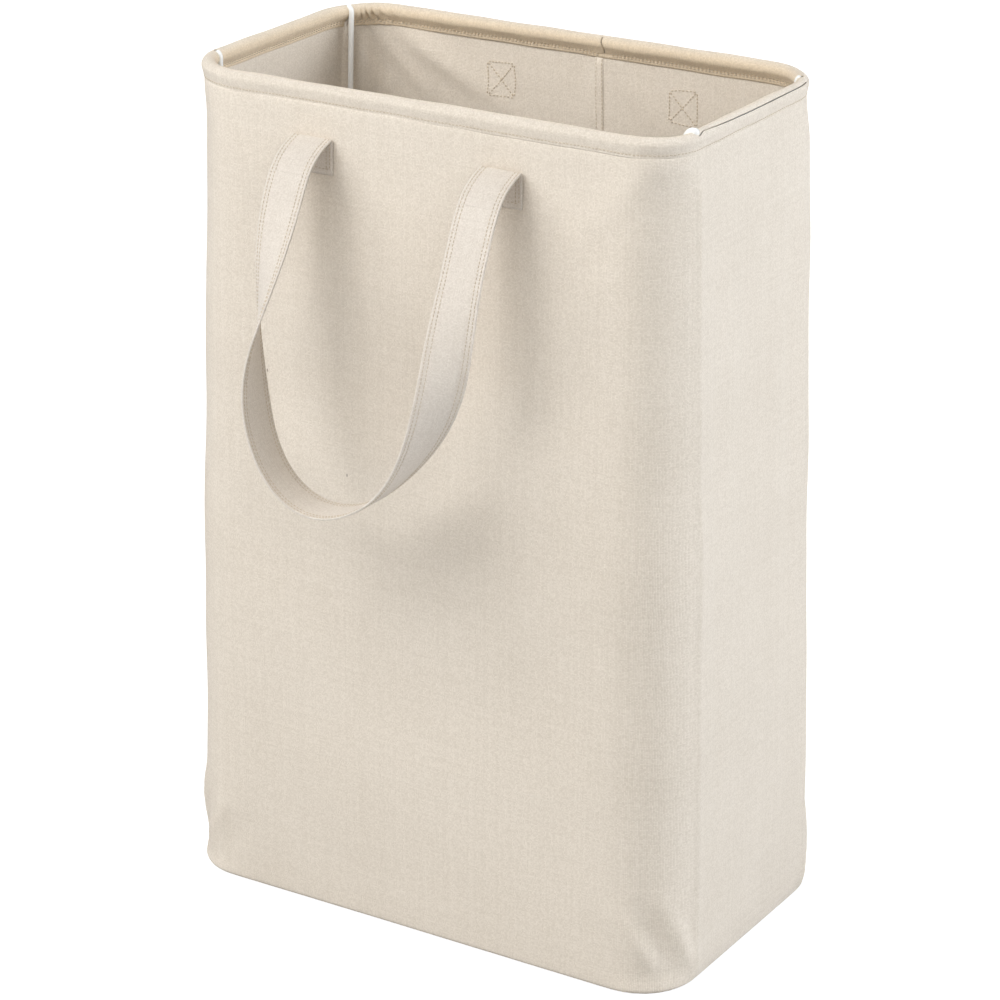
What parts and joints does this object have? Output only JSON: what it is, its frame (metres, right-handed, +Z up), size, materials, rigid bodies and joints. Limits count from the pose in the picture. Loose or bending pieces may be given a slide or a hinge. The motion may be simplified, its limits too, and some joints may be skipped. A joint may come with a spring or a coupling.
{
  "type": "laundry hamper",
  "caption": "Tall rectangular canvas laundry hamper with a wire ring in its rim hem, corner support rods that lean in so it collapses, and strap handles.",
  "frame": {"origin": "on the floor under the middle of the bag", "axes": "+Z up, the front with the nearer handle faces -Y, +X to the right seen from the front"},
  "size_m": [0.3928, 0.4044, 0.6104],
  "materials": {
    "canvas": "natural unbleached cotton canvas, matt, plain weave with small slubs",
    "strap": "folded canvas strap, matt, with stitched edges",
    "rod_plastic": "white moulded plastic, slightly glossy",
    "fibreboard": "brown hardboard, smooth",
    "steel": "bare drawn steel wire"
  },
  "bodies": {
    "bag": {"bottom_cloth": "canvas", "base_board": "fibreboard", "wall_cloth": "canvas", "rod_pocket_front_left": "canvas", "rod_pocket_front_right": "canvas", "rod_pocket_back_left": "canvas", "rod_pocket_back_right": "canvas"},
    "rim": {"rim_hem": "canvas", "top_ring": "steel", "ring_sleeve": "steel", "handle_end_front_left": "strap", "handle_end_front_right": "strap", "handle_end_back_left": "strap", "handle_end_back_right": "strap"},
    "rod_front_left": {"rod_front_left": "rod_plastic", "rod_tip_front_left": "rod_plastic"},
    "rod_front_right": {"rod_front_right": "rod_plastic", "rod_tip_front_right": "rod_plastic"},
    "rod_back_left": {"rod_back_left": "rod_plastic", "rod_tip_back_left": "rod_plastic"},
    "rod_back_right": {"rod_back_right": "rod_plastic", "rod_tip_back_right": "rod_plastic"},
    "handle_front": {"handle_front": "strap"},
    "handle_back": {"handle_back": "strap"}
  },
  "joints": [
    {"name": "collapse", "type": "slide", "parent": "bag", "child": "rim", "axis": [0, 0, -1], "range_m": [0, 0.54], "deforming": ["wall_cloth"]},
    {"name": "rod_lean_front_left", "type": "hinge", "parent": "bag", "child": "rod_front_left", "pos_m": [-0.1875, -0.07, 0.0094], "axis": [0, 1, 0], "range_deg": [0, 16.01]},
    {"name": "rod_lean_front_right", "type": "hinge", "parent": "bag", "child": "rod_front_right", "pos_m": [0.1875, -0.07, 0.0094], "axis": [0, -1, 0], "range_deg": [0, 16.01]},
    {"name": "rod_lean_back_left", "type": "hinge", "parent": "bag", "child": "rod_back_left", "pos_m": [-0.1875, 0.078, 0.0094], "axis": [0, 1, 0], "range_deg": [0, 16.01]},
    {"name": "rod_lean_back_right", "type": "hinge", "parent": "bag", "child": "rod_back_right", "pos_m": [0.1875, 0.078, 0.0094], "axis": [0, -1, 0], "range_deg": [0, 16.01]},
    {"name": "handle_front_swing", "type": "hinge", "parent": "rim", "child": "handle_front", "pos_m": [-0.007, -0.13967, 0.55655], "axis": [-1, 0, 0], "range_deg": [0, 150]},
    {"name": "handle_back_swing", "type": "hinge", "parent": "rim", "child": "handle_back", "pos_m": [0.007, 0.13967, 0.55655], "axis": [1, 0, 0], "range_deg": [0, 150]}
  ],
  "couplings": [
    {"joint": "rod_lean_front_left", "follows": "collapse", "rad_per_m": 0.5171},
    {"joint": "rod_lean_front_right", "follows": "collapse", "rad_per_m": 0.5171},
    {"joint": "rod_lean_back_left", "follows": "collapse", "rad_per_m": 0.5171},
    {"joint": "rod_lean_back_right", "follows": "collapse", "rad_per_m": 0.5171}
  ]
}
